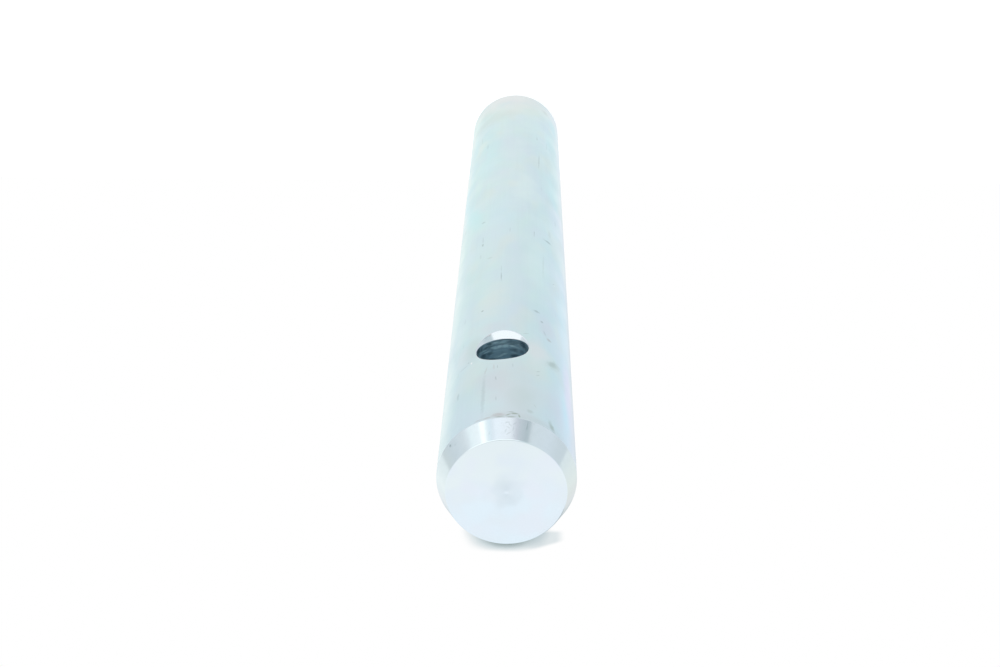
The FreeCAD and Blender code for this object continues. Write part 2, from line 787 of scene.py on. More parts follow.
class Effects:
    """The effects that the pin's finishes share."""

    def __init__(self, sizes: PinSizes) -> None:
        """Builds the groups.

        Args:
            sizes: The pin's sizes, for places on it.
        """
        self.radius_mm = sizes.radius / MM
        self.bore_radius_mm = sizes.hole_radius / MM
        self.places = self.build_places(sizes)
        self.cast = self.build_cast()
        self.tool_lines = self.build_tool_lines()
        self.specks = self.build_specks()
        self.mark = self.build_mark()

    def build_places(self, sizes: PinSizes) -> EffectGroup:
        """Places on the pin, in millimetres: on its outside, along the cross hole, and round the bore.

        Args:
            sizes: The pin's sizes.

        Returns:
            The group.
        """
        gives = {"Point": "Vector"}
        gives |= dict.fromkeys(("Girth", "Height", "Off Axis", "Depth", "Bore Girth"), "Float")
        group = EffectGroup("place_on_pin", {}, gives)
        s = group.sheet
        point = s.stretch(s.node("TexCoord").outputs["Object"], PER_MM)
        parts = s.node("SeparateXYZ", {0: point}).outputs
        around = s.math("ARCTAN2", parts["X"], s.times(parts["Y"], -1.0))
        squares = s.plus(s.math("POWER", parts["X"], 2.0), s.math("POWER", parts["Y"], 2.0))
        down = s.minus(sizes.hole_height / MM, parts["Z"])
        round_bore = s.math("ARCTAN2", s.times(parts["X"], -1.0), down)
        group.give("Point", point)
        group.give("Girth", s.times(around, self.radius_mm))
        group.give("Height", parts["Z"])
        group.give("Off Axis", s.math("SQRT", squares))
        group.give("Depth", parts["Y"])
        group.give("Bore Girth", s.times(round_bore, self.bore_radius_mm))
        return group

    @staticmethod
    def build_cast() -> EffectGroup:
        """The faint colour cast of clear zinc passivation, in long soft patches of three hues.

        Returns:
            The group.
        """
        takes = {"Point": "Vector", "Metal": "Color"}
        takes |= dict.fromkeys(("First Hue", "Second Hue", "Third Hue"), "Color")
        takes |= {"Amount": "Float", "Lean": "Float"}
        group = EffectGroup("passivation_cast", takes, {"Colour": "Color"})
        s, taken = group.sheet, group.taken
        broad = s.noise(s.stretch(taken["Point"], (0.10, 0.10, 0.045)), 1.0, 1.0)
        small = s.noise(s.stretch(taken["Point"], (0.30, 0.30, 0.14)), 1.0, 2.0)
        leaning = s.plus(s.plus(s.times(broad, 0.7), s.times(small, 0.3)), taken["Lean"])
        first = s.times(s.remap(leaning, 0.48, 0.68), taken["Amount"])
        second = s.times(s.remap(leaning, 0.52, 0.32), taken["Amount"])
        elsewhere = {0: taken["Point"], 1: (31.0, 17.0, 53.0)}
        apart = s.node("VectorMath", elsewhere, operation="ADD").outputs["Vector"]
        spots = s.noise(s.stretch(apart, (0.14, 0.14, 0.07)), 1.0, 1.0)
        third = s.times(s.remap(spots, 0.5, 0.72), taken["Amount"])
        tinted = s.blend(second, s.blend(first, taken["Metal"], taken["First Hue"]), taken["Second Hue"])
        group.give("Colour", s.blend(third, tinted, taken["Third Hue"]))
        return group

    @staticmethod
    def build_tool_lines() -> EffectGroup:
        """Lines that a tool leaves: even across one direction, uneven in depth, broken here and there.

        Returns:
            The group.
        """
        takes = {"Across": "Float", "Pitch": "Float", "Point": "Vector", "Break Up": "Float"}
        group = EffectGroup("tool_lines", takes, {"Height": "Float", "Shade": "Float"})
        s, taken = group.sheet, group.taken
        line = s.math("DIVIDE", taken["Across"], taken["Pitch"])
        fine, coarse = s.line_noise(line, 1.0, 2.0), s.line_noise(line, 0.19, 1.0)
        both = s.plus(s.times(fine, 0.65), s.times(coarse, 0.35))
        gaps = s.remap(s.noise(taken["Point"], 0.5), 0.45, 0.65)
        kept = s.minus(1.0, s.times(gaps, taken["Break Up"]))
        height = s.times(s.minus(both, 0.5), kept)
        group.give("Height", height)
        group.give("Shade", s.remap(height, -0.16, 0.16))
        return group

    @staticmethod
    def build_specks() -> EffectGroup:
        """Sparse specks and short rubs, strewn over the metal.

        Returns:
            The group.
        """
        takes = {"Point": "Vector", "Spacing": "Float", "Size": "Float", "Share": "Float"}
        group = EffectGroup("strewn_specks", takes, {"Mask": "Float"})
        s, taken = group.sheet, group.taken
        inputs = {"Vector": taken["Point"], "Scale": s.math("DIVIDE", 1.0, taken["Spacing"])}
        cells = s.node("TexVoronoi", inputs).outputs
        draw = s.node("SeparateColor", {0: cells["Color"]}).outputs
        chosen = s.math("LESS_THAN", draw["Red"], taken["Share"])
        size = s.times(taken["Size"], s.remap(draw["Green"], 0.0, 1.0, 0.4, 1.0))
        spot = s.remap(cells["Distance"], size, s.times(size, 0.35))
        group.give("Mask", s.times(spot, s.times(chosen, draw["Blue"])))
        return group

    @staticmethod
    def build_mark() -> EffectGroup:
        """One mark, a rub, stain, nick, patch of hue, painted shade or painted highlight: a soft uneven
        oval at a place on its ground.

        Returns:
            The group.
        """
        where = ("Girth", "Height", "Uneven", "At Girth", "At Height")
        takes = dict.fromkeys((*where, "Half Width", "Half Length", "Slant"), "Float")
        group = EffectGroup("single_mark", takes, {"Mask": "Float"})
        s, taken = group.sheet, group.taken
        across = s.minus(taken["Girth"], taken["At Girth"])
        along = s.minus(taken["Height"], taken["At Height"])
        sine, cosine = s.math("SINE", taken["Slant"]), s.math("COSINE", taken["Slant"])
        turned_across = s.minus(s.times(across, cosine), s.times(along, sine))
        turned_along = s.plus(s.times(across, sine), s.times(along, cosine))
        wide = s.math("POWER", s.math("DIVIDE", turned_across, taken["Half Width"]), 2.0)
        long = s.math("POWER", s.math("DIVIDE", turned_along, taken["Half Length"]), 2.0)
        reach = s.math("SQRT", s.plus(wide, long))
        ragged = s.plus(reach, s.times(s.minus(taken["Uneven"], 0.5), 1.1))
        group.give("Mask", s.remap(ragged, 1.15, 0.2))
        return group


@dataclass(frozen=True)
class Mark:
    """A mark, in millimetres and degrees, by the coordinates of the ground it lies on: a rub, stain or
    nick, a patch of hue, painted shade or a painted highlight.

    height and around say where it is. On the pin's outside, around is counted from the front, -Y, to
    the right. slant leans its length to the right, and strength is how much of its tone covers the
    metal. Where no tone is given, it is a rub.
    """

    height: float
    around: float
    width: float
    length: float
    slant: float
    strength: float
    tone: Tone = Tone.RUB


@dataclass(frozen=True)
class Ground:
    """The surface that marks lie on: its coordinates, its radius for angles, and how ragged marks are."""

    girth: Feed
    height: Feed
    radius_mm: float
    uneven: Feed


@dataclass(frozen=True)
class Strewn:
    """Small rubs strewn over a finish: how far apart they lie, how large, and how many show.

    stretch is what the pin's millimetres are multiplied by, which draws them out where it is small.
    """

    spacing: float
    size: float
    share: float
    strength: float
    stretch: Triple = (1.0, 1.0, 1.0)


class Coat:
    """A finish of the plate in the making: its shader, and ways to lay the shared effects on it."""

    def __init__(self, metal: "Metal", effects: Effects) -> None:
        """Starts the material, with its shader joined to the output.

        Args:
            metal: The finish.
            effects: The shared effects.
        """
        self.effects = effects
        self.line_depth = metal.line_depth
        self.material = bpy.data.materials.new(metal.name)
        self.sheet = Sheet.of(self.material)
        inputs = {"Metallic": metal.metallic, "Roughness": metal.roughness, "Base Color": metal.colour}
        self.shader = self.sheet.node("BsdfPrincipled", inputs)
        self.sheet.node("OutputMaterial", {"Surface": self.shader.outputs[0]})
        self.place = effects.places.place(self.sheet, {})
        self.point = self.place["Point"]

    def feed(self, name: str, value: Feed) -> None:
        """Feeds one of the shader's inputs."""
        self.sheet.feed(self.shader.inputs[name], value)

    def roughen(self, height: Feed) -> None:
        """Feeds a height, times the finish's depth of lines in millimetres, to the shader's normal."""
        inputs = {"Strength": 1.0, "Distance": self.line_depth * MM, "Height": height}
        self.feed("Normal", self.sheet.node("Bump", inputs).outputs[0])

    def cast(
        self, metal: Colour, hues: tuple[Colour, Colour, Colour], amount: float, lean: Feed
    ) -> Socket:
        """Lays the colour cast over the metal.

        Args:
            metal: The metal's own colour.
            hues: The three hues of the cast.
            amount: How much they cover.
            lean: What leans the cast to its first hue, or where it is less than 0, to its second.

        Returns:
            The colour.
        """
        first, second, third = hues
        inputs = {"Point": self.point, "Metal": metal, "First Hue": first, "Second Hue": second}
        inputs |= {"Third Hue": third, "Amount": amount, "Lean": lean}
        return self.effects.cast.place(self.sheet, inputs)["Colour"]

    def tool_lines(self, across: Feed, pitch: float, gaps: float) -> Outputs:
        """Cuts tool lines.

        Args:
            across: The place across the lines, in millimetres.
            pitch: Their spacing.
            gaps: How much they are broken up, from 0 to 1.

        Returns:
            The lines' height and shade.
        """
        inputs = {"Across": across, "Pitch": pitch, "Point": self.point, "Break Up": gaps}
        return self.effects.tool_lines.place(self.sheet, inputs)

    def strew(self, rubs: Strewn) -> Socket:
        """The mask of small rubs strewn over the metal.

        Args:
            rubs: How they are strewn.

        Returns:
            The mask.
        """
        inputs = {"Point": self.sheet.stretch(self.point, rubs.stretch), "Spacing": rubs.spacing}
        inputs |= {"Size": rubs.size, "Share": rubs.share}
        mask = self.effects.specks.place(self.sheet, inputs)["Mask"]
        return self.sheet.times(mask, rubs.strength)

    def ground(self, girth: Feed, height: Feed, radius_mm: float, raggedness: float) -> Ground:
        """A surface for marks.

        Args:
            girth: The place round the surface, in millimetres.
            height: The place along it.
            radius_mm: Its radius.
            raggedness: Scale of the noise that breaks the marks' edges, per millimetre.

        Returns:
            The ground.
        """
        uneven = self.sheet.noise(self.point, raggedness, 3.0, 0.6)
        return Ground(girth, height, radius_mm, uneven)

    def outside(self, raggedness: float = FINE_RAGGEDNESS) -> Ground:
        """The pin's outside as a ground for marks."""
        return self.ground(self.place["Girth"], self.place["Height"], self.effects.radius_mm, raggedness)

    def mask_of(self, mark: Mark, ground: Ground) -> Socket:
        """Where one mark covers the metal.

        Args:
            mark: The mark.
            ground: The surface that it lies on.

        Returns:
            The mask.
        """
        inputs = {
            "Girth": ground.girth,
            "Height": ground.height,
            "Uneven": ground.uneven,
            "At Girth": math.radians(mark.around) * ground.radius_mm,
            "At Height": mark.height,
            "Half Width": mark.width / 2,
            "Half Length": mark.length / 2,
            "Slant": math.radians(mark.slant),
        }
        mask = self.effects.mark.place(self.sheet, inputs)["Mask"]
        return self.sheet.times(mask, mark.strength)

    def lay_marks(
        self, ground: Ground, marks: tuple[Mark, ...], metal: Feed, strewn: Feed = 0.0
    ) -> tuple[Socket, Socket]:
        """Lays marks over the metal, tone by tone.

        Args:
            ground: The surface that the marks lie on.
            marks: The marks.
            metal: The metal's colour under them.
            strewn: A mask of further small rubs.

        Returns:
            The marked colour, and the mask of all the marks.
        """
        all_marks = self.sheet.times(strewn, 1.0)
        colour = self.sheet.blend(all_marks, metal, Tone.RUB.value)
        for tone in Tone:
            masks = [self.mask_of(mark, ground) for mark in marks if mark.tone is tone]
            if masks:
                covered = self.sheet.most(*masks)
                colour = self.sheet.blend(covered, colour, tone.value)
                all_marks = self.sheet.most(all_marks, covered)
        return colour, all_marks


@dataclass(frozen=True)
class Metal:
    """What every finish of the plate sets: its colour, gloss and depth of tool lines."""

    name: str
    colour: Colour
    roughness: float
    line_depth: float
    metallic: float = 1.0

    def build(self, effects: Effects) -> bpy.types.Material:
        """Builds the material.

        Args:
            effects: The shared effects.

        Returns:
            The material.
        """
        coat = Coat(self, effects)
        self.work(coat)
        return coat.material

    def work(self, coat: Coat) -> None:
        """Gives the coat what sets this finish apart."""
        raise NotImplementedError


@dataclass(frozen=True)
class ShankFinish(Metal):
    """The drawn shank: satin, with fine lines along it, a faint cast, and marks of handling.

    Its zones are wide soft patches of hue; the one over the far end, lighter and warmer, and the light
    ones along the flank at 63 to 66 degrees round are painted highlights. Its marks are the rubs,
    stains and nicks over them, the nicks near-white as painted glints.
    """

    name: str = "zinc_on_drawn_shank"
    colour: Colour = (0.60, 0.77, 0.815)
    roughness: float = 0.31
    line_depth: float = 0.004
    green_hue: Colour = (0.60, 0.81, 0.79)
    lilac_hue: Colour = (0.62, 0.73, 0.83)
    straw_hue: Colour = (0.65, 0.77, 0.765)
    cast_amount: float = 0.5
    cast_lean: float = 0.004
    streak_stretch: Triple = (1.27, 1.27, 0.03)
    streak_colour: Colour = (0.5, 0.60, 0.62)
    streak_amount: float = 0.08
    zone_raggedness: float = 0.11
    satin_swing: float = 0.03
    mark_roughness: float = 0.15
    strewn: Strewn = Strewn(3.2, 0.24, 0.4, 0.16, (1.0, 1.0, 0.22))
    # The first zone, over the far end, and the light zones at 63 to 66 degrees round are painted
    # highlights.
    zones: tuple[Mark, ...] = (
        Mark(8.0, -8.0, 52.0, 26.0, 0.0, 0.95, Tone.BLUSH),
        Mark(20.0, -17.0, 26.0, 20.0, 0.0, 0.40, Tone.STRAW),
        Mark(27.0, 32.0, 22.0, 16.0, 0.0, 0.42, Tone.DULL),
        Mark(22.0, -66.0, 7.0, 26.0, 0.0, 0.45, Tone.TEAL),
        Mark(14.0, -48.0, 8.0, 13.0, 0.0, 0.40, Tone.STRAW),
        Mark(62.0, -63.0, 5.5, 90.0, 0.0, 0.35, Tone.TEAL),
        Mark(62.0, -62.0, 5.5, 100.0, 0.0, 0.20, Tone.DULL),
        Mark(36.0, -79.0, 4.5, 60.0, 0.0, 0.30, Tone.PALE),
        Mark(60.0, 52.0, 6.0, 120.0, 0.0, 0.28, Tone.TEAL),
        Mark(18.0, 36.0, 9.0, 16.0, 0.0, 0.30, Tone.DULL),
        Mark(110.0, 46.0, 8.0, 38.0, -13.0, 0.80, Tone.TEAL),
        Mark(90.0, 63.0, 6.0, 42.0, -5.0, 0.55, Tone.SKY),
        Mark(54.0, 23.0, 10.0, 62.0, -6.0, 0.40, Tone.TEAL),
        Mark(72.0, 29.0, 9.0, 34.0, 0.0, 0.35, Tone.SKY),
        Mark(90.0, -60.0, 7.5, 34.0, 0.0, 0.55, Tone.TEAL),
        Mark(40.0, -61.0, 7.0, 40.0, 3.0, 0.55, Tone.TEAL),
        Mark(66.0, -54.0, 6.5, 22.0, 0.0, 0.35, Tone.DULL),
        Mark(96.0, -21.0, 8.0, 40.0, 4.0, 0.30, Tone.PALE),
        Mark(122.0, 8.0, 13.0, 36.0, 0.0, 0.25, Tone.SKY),
        Mark(103.0, -50.0, 6.0, 18.0, 8.0, 0.25, Tone.DULL),
        Mark(174.0, -64.5, 6.0, 28.0, 0.0, 0.45, Tone.SKY),
        Mark(178.0, -70.0, 7.5, 74.0, 0.0, 0.50, Tone.SKY),
        Mark(188.0, 46.0, 6.5, 40.0, 0.0, 0.32, Tone.PALE),
        Mark(226.0, -64.5, 6.0, 26.0, 0.0, 0.70, Tone.SKY),
        Mark(214.0, -71.0, 5.0, 34.0, 0.0, 0.75, Tone.LILAC),
        Mark(191.0, -44.5, 6.0, 13.0, 0.0, 0.65, Tone.MAUVE),
        Mark(156.0, -33.0, 10.0, 34.0, 0.0, 0.30, Tone.PALE),
        Mark(179.0, 11.0, 11.0, 24.0, 10.0, 0.45, Tone.STRAW),
        Mark(196.0, 3.0, 11.0, 9.0, 0.0, 0.45, Tone.MAUVE),
        Mark(203.0, 26.0, 7.0, 15.0, 0.0, 0.55, Tone.DULL),
        Mark(172.0, 63.0, 9.0, 54.0, 0.0, 0.75, Tone.PALE),
        Mark(144.0, 66.0, 6.5, 38.0, 0.0, 0.75, Tone.PALE),
        Mark(218.0, 64.0, 10.0, 60.0, 0.0, 0.85, Tone.PALE),
        Mark(221.0, 8.0, 22.0, 24.0, 0.0, 0.20, Tone.DULL),
        Mark(228.0, -18.0, 20.0, 36.0, 0.0, 0.65, Tone.ASH),
        Mark(217.0, 28.0, 9.0, 16.0, 0.0, 0.35, Tone.STRAW),
        Mark(223.0, 7.0, 10.0, 19.0, 0.0, 0.65, Tone.MAUVE),
        Mark(215.0, -31.0, 9.0, 16.0, 0.0, 0.40, Tone.STRAW),
        Mark(230.0, -16.0, 9.0, 16.0, 0.0, 0.30, Tone.DULL),
        Mark(228.0, -50.0, 8.0, 20.0, 0.0, 0.45, Tone.MAUVE),
        Mark(206.0, -31.5, 8.5, 19.0, 0.0, 0.90, Tone.BLUSH),
        Mark(203.0, 38.0, 5.5, 14.0, 0.0, 0.45, Tone.BLUSH),
        Mark(238.6, -26.0, 19.0, 5.0, 0.0, 0.60, Tone.MAUVE),
        Mark(238.6, -24.0, 19.0, 5.0, 0.0, 0.30, Tone.DULL),
    )
    marks: tuple[Mark, ...] = (
        Mark(122.8, 26.7, 0.94, 1.8, -60.0, 0.38),
        Mark(134.0, -4.0, 0.36, 4.1, 1.0, 0.19),
        Mark(133.6, -30.1, 0.44, 4.9, 1.0, 0.30),
        Mark(133.9, -46.9, 1.77, 3.3, 83.0, 0.45),
        Mark(139.9, 25.5, 0.72, 2.5, -1.0, 0.49),
        Mark(136.4, 25.7, 0.42, 6.7, -1.0, 0.23),
        Mark(151.4, 16.0, 1.20, 1.9, -64.0, 0.17, Tone.GREEN),
        Mark(147.6, 27.2, 0.71, 4.3, -2.0, 0.14),
        Mark(160.5, 3.4, 0.31, 5.9, -1.0, 0.19),
        Mark(165.6, 3.1, 0.38, 6.4, -1.0, 0.41),
        Mark(153.3, -40.1, 0.65, 18.4, 1.0, 0.12, Tone.GREEN),
        Mark(160.2, -53.4, 0.55, 1.4, 37.0, 0.26),
        Mark(183.7, 20.4, 0.98, 0.8, -59.0, 0.60),
        Mark(183.9, -31.6, 1.40, 2.3, -89.0, 0.38),
        Mark(188.4, -37.3, 1.28, 1.0, 80.0, 0.45),
        Mark(198.1, -21.7, 0.46, 2.2, 58.0, 0.26),
        Mark(193.9, -40.2, 0.72, 3.4, -17.0, 0.21),
        Mark(196.1, -44.6, 1.61, 1.9, -90.0, 0.41, Tone.RUST),
        Mark(208.6, 31.5, 0.55, 0.9, -44.0, 0.41),
        Mark(209.8, 36.9, 0.75, 3.5, 87.0, 0.19),
        Mark(210.9, 43.9, 0.41, 2.2, 6.0, 0.15, Tone.GREEN),
        Mark(216.8, 13.2, 0.42, 4.5, 9.0, 0.23, Tone.RUST),
        Mark(228.0, 14.4, 1.20, 23.0, 0.0, 0.19),
        Mark(222.0, 14.4, 0.40, 9.0, 0.0, 0.16),
        Mark(215.9, 6.1, 0.58, 3.0, -1.0, 0.21, Tone.RUST),
        Mark(215.9, 3.0, 0.34, 2.0, 0.0, 0.34),
        Mark(221.4, 4.0, 0.40, 2.5, -5.0, 0.34),
        Mark(230.8, 3.2, 0.34, 2.5, -2.0, 0.21),
        Mark(215.4, -10.1, 0.31, 2.4, -1.0, 0.21),
        Mark(215.6, -32.6, 0.40, 1.8, 44.0, 0.30),
        Mark(217.4, -32.5, 0.41, 1.5, 46.0, 0.30),
        Mark(207.9, -49.2, 7.0, 3.8, -54.0, 0.24, Tone.GREEN),
        Mark(207.6, -48.6, 4.4, 2.2, -54.0, 0.20),
        Mark(221.9, 41.0, 1.00, 4.0, -2.0, 0.25),
        Mark(225.6, 15.4, 0.39, 1.0, -56.0, 0.34),
        Mark(235.4, -25.3, 1.80, 1.8, -65.0, 0.20, Tone.GREEN),
        Mark(232.2, -29.5, 0.53, 1.4, -29.0, 0.17, Tone.GREEN),
        Mark(237.4, -45.2, 1.6, 5.2, -14.0, 0.42, Tone.GREEN),
        Mark(238.2, 0.4, 1.9, 3.6, 87.0, 0.38, Tone.RUST),
        Mark(239.0, -0.8, 0.60, 2.4, 89.0, 0.50, Tone.GREEN),
        Mark(238.2, -7.3, 0.60, 1.8, 48.0, 0.62, Tone.GREEN),
        Mark(237.6, -12.7, 0.90, 2.2, -88.0, 0.64, Tone.GREEN),
        Mark(238.4, -16.2, 0.50, 1.6, -14.0, 0.60, Tone.GREEN),
        Mark(239.1, -10.0, 0.60, 2.6, 80.0, 0.52, Tone.GREEN),
        Mark(237.0, -9.0, 0.50, 1.8, 75.0, 0.40, Tone.GREEN),
        Mark(238.8, 9.5, 0.72, 2.6, 84.0, 0.38, Tone.RUST),
        Mark(238.8, 17.6, 0.61, 2.2, 89.0, 0.30, Tone.RUST),
        Mark(70.6, -37.3, 0.48, 15.4, 1.0, 0.34),
        Mark(48.6, -35.1, 0.53, 4.7, 0.0, 0.26),
        Mark(50.1, -50.0, 0.50, 8.5, 1.0, 0.12),
        Mark(43.4, 40.0, 0.61, 8.1, -2.0, 0.11, Tone.GREEN),
        Mark(13.2, -49.5, 3.6, 4.6, 10.0, 0.14, Tone.GREEN),
        # Near-white nicks: painted glints.
        Mark(209.8, 28.1, 0.55, 1.1, 0.0, 0.80, Tone.NICK_GLINT),
        Mark(160.4, -54.6, 0.45, 1.3, 40.0, 0.60, Tone.NICK_GLINT),
    )

    def work(self, coat: Coat) -> None:
        """Lays the cast, the streaks of drawing, the zones and the marks over the shank, with painted
        highlights and glints among them.

        Args:
            coat: The material in the making.
        """
        sheet, point = coat.sheet, coat.point
        lean = sheet.times(sheet.node("SeparateXYZ", {0: point}).outputs["X"], self.cast_lean)
        hues = (self.green_hue, self.lilac_hue, self.straw_hue)
        cast = coat.cast(self.colour, hues, self.cast_amount, lean)
        drawn = sheet.noise(sheet.stretch(point, self.streak_stretch), 1.0, 4.0, 0.65)
        streaks = sheet.remap(drawn, 0.4, 0.75, 0.0, self.streak_amount)
        streaked = sheet.blend(streaks, cast, self.streak_colour)
        hued, _ = coat.lay_marks(coat.outside(self.zone_raggedness), self.zones, streaked)
        marked, marks = coat.lay_marks(coat.outside(), self.marks, hued, coat.strew(self.strewn))
        coat.feed("Base Color", marked)
        swing = self.satin_swing
        satin = sheet.remap(sheet.noise(point, 0.12, 3.0), 0.35, 0.65, -swing, swing)
        dulled = sheet.times(marks, self.mark_roughness)
        coat.feed("Roughness", sheet.plus(satin, self.roughness, dulled))
        coat.roughen(drawn)


@dataclass(frozen=True)
class LeadInFinish(Metal):
    """The turned lead-ins: bright, with faint lines round them and a little mottling."""

    name: str = "zinc_on_turned_lead_in"
    colour: Colour = (0.70, 0.775, 0.82)
    roughness: float = 0.09
    line_depth: float = 0.0006
    line_pitch: float = 0.22
    line_gaps: float = 0.5
    mottle_colour: Colour = (0.55, 0.62, 0.66)
    mottle_amount: float = 0.12
    mottle_roughness: float = 0.05
    mark_roughness: float = 0.3
    specks: Strewn = Strewn(2.4, 0.14, 0.12, 0.4)
    marks: tuple[Mark, ...] = (
        Mark(240.5, 47.8, 0.8, 0.8, 0.0, 0.65),
        Mark(242.8, -5.5, 0.45, 1.3, 20.0, 0.15),
        Mark(241.3, -9.0, 0.40, 1.2, -40.0, 0.20),
        Mark(243.4, -8.0, 0.40, 1.6, 60.0, 0.17),
        Mark(242.2, -12.0, 0.35, 1.4, 10.0, 0.17),
        Mark(240.7, -7.0, 0.45, 1.3, 85.0, 0.20),
        Mark(241.9, -7.5, 0.35, 1.1, -70.0, 0.15),
        Mark(240.9, -13.0, 0.35, 1.2, 50.0, 0.15),
        Mark(243.9, -13.0, 0.40, 1.2, -25.0, 0.13),
        Mark(243.0, 9.0, 0.40, 1.2, 30.0, 0.14),
        Mark(241.0, -23.5, 0.4, 2.6, 0.0, 0.26),
    )

    def work(self, coat: Coat) -> None:
        """Lays the mottling, the marks and the turned lines over the lead-ins.

        Args:
            coat: The material in the making.
        """
        sheet = coat.sheet
        lines = coat.tool_lines(coat.place["Height"], self.line_pitch, self.line_gaps)
        mottle = sheet.remap(sheet.noise(coat.point, 0.8, 4.0, 0.6), 0.35, 0.75)
        mottled = sheet.blend(sheet.times(mottle, self.mottle_amount), self.colour, self.mottle_colour)
        marked, marks = coat.lay_marks(coat.outside(), self.marks, mottled, coat.strew(self.specks))
        coat.feed("Base Color", marked)
        dulled = sheet.times(marks, self.mark_roughness)
        rough = sheet.plus(sheet.times(mottle, self.mottle_roughness), self.roughness, dulled)
        coat.feed("Roughness", rough)
        coat.roughen(lines["Height"])


@dataclass(frozen=True)
class EndFaceFinish(Metal):
    """The faced ends: fine rings about the centre, which spread their gloss into a soft bow tie."""

    name: str = "zinc_on_faced_end"
    colour: Colour = (0.745, 0.83, 0.89)
    roughness: float = 0.15
    line_depth: float = 0.0006
    line_pitch: float = 0.35
    line_gaps: float = 0.2
    line_colour: Colour = (0.6, 0.67, 0.72)
    line_amount: float = 0.03
    anisotropy: float = 0.8
    anisotropy_turn: float = 0.25
    centre_roughness: float = 0.115
    centre_radius: float = 5.5
    centre_full: float = 0.6
    # The lighter dot at the centre is a painted highlight.
    centre_dot: float = 0.55
    dot_highlight_colour: Colour = (0.75, 0.84, 0.905)
    # The darker middle of the face is painted shade.
    middle_shade_radius: float = 5.0
    middle_shade_wander: float = 1.6
    middle_shade_amount: float = 0.5
    middle_shade_hue: Colour = (0.665, 0.765, 0.83)
    upper_hue: Colour = (0.775, 0.86, 0.875)
    lower_hue: Colour = (0.74, 0.865, 0.945)
    lilac_hue: Colour = (0.765, 0.825, 0.90)
    cast_amount: float = 0.7
    cast_lean: float = 0.012

    def work(self, coat: Coat) -> None:
        """Lays the cast and the rings over the faces, with painted shade over the middle and a painted
        highlight at the centre.

        Args:
            coat: The material in the making.
        """
        sheet, place = coat.sheet, coat.place
        off_axis = place["Off Axis"]
        lines = coat.tool_lines(off_axis, self.line_pitch, self.line_gaps)
        hues = (self.lower_hue, self.upper_hue, self.lilac_hue)
        cast = coat.cast(self.colour, hues, self.cast_amount, sheet.times(place["Depth"], self.cast_lean))
        ringed = sheet.blend(sheet.times(lines["Shade"], self.line_amount), cast, self.line_colour)
        # Painted shade: the middle of the face darker, out to a wandering edge.
        swing = self.middle_shade_wander
        wander = sheet.remap(sheet.noise(coat.point, 0.35, 1.0), 0.3, 0.7, -swing, swing)
        middle_shade = sheet.remap(sheet.plus(off_axis, wander), self.middle_shade_radius, 0.0, 0.0, self.middle_shade_amount)
        middle_shaded_metal = sheet.blend(middle_shade, ringed, self.middle_shade_hue)
        # Painted highlight: a lighter dot at the very centre.
        dot = sheet.remap(off_axis, self.centre_dot, 0.5 * self.centre_dot)
        coat.feed("Base Color", sheet.blend(dot, middle_shaded_metal, self.dot_highlight_colour))
        middle = sheet.remap(off_axis, self.centre_radius, self.centre_full, 0.0, self.centre_roughness)
        coat.feed("Roughness", sheet.plus(middle, self.roughness))
        coat.feed("Anisotropic", self.anisotropy)
        coat.feed("Anisotropic Rotation", self.anisotropy_turn)
        coat.feed("Tangent", sheet.node("Tangent", direction_type="RADIAL", axis="Z").outputs[0])
        coat.roughen(lines["Height"])


@dataclass(frozen=True)
class CountersinkFinish(Metal):
    """The countersinks: cut bright, with lines round the hole's axis."""

    name: str = "zinc_on_countersink"
    colour: Colour = (0.68, 0.74, 0.78)
    roughness: float = 0.12
    line_depth: float = 0.001
    line_pitch: float = 0.3
    line_gaps: float = 0.4
    line_colour: Colour = (0.55, 0.6, 0.66)
    line_amount: float = 0.08
    marks: tuple[Mark, ...] = (
        Mark(198.5, 13.0, 1.1, 2.0, 60.0, 0.35, Tone.RUST),
        Mark(199.3, 15.5, 0.7, 1.6, 50.0, 0.25),
    )

    def work(self, coat: Coat) -> None:
        """Lays the cut lines and the marks over the countersinks.

        Args:
            coat: The material in the making.
        """
        sheet = coat.sheet
        lines = coat.tool_lines(coat.place["Depth"], self.line_pitch, self.line_gaps)
        lined = sheet.blend(sheet.times(lines["Shade"], self.line_amount), self.colour, self.line_colour)
        marked, _ = coat.lay_marks(coat.outside(), self.marks, lined)
        coat.feed("Base Color", marked)
        coat.roughen(lines["Height"])


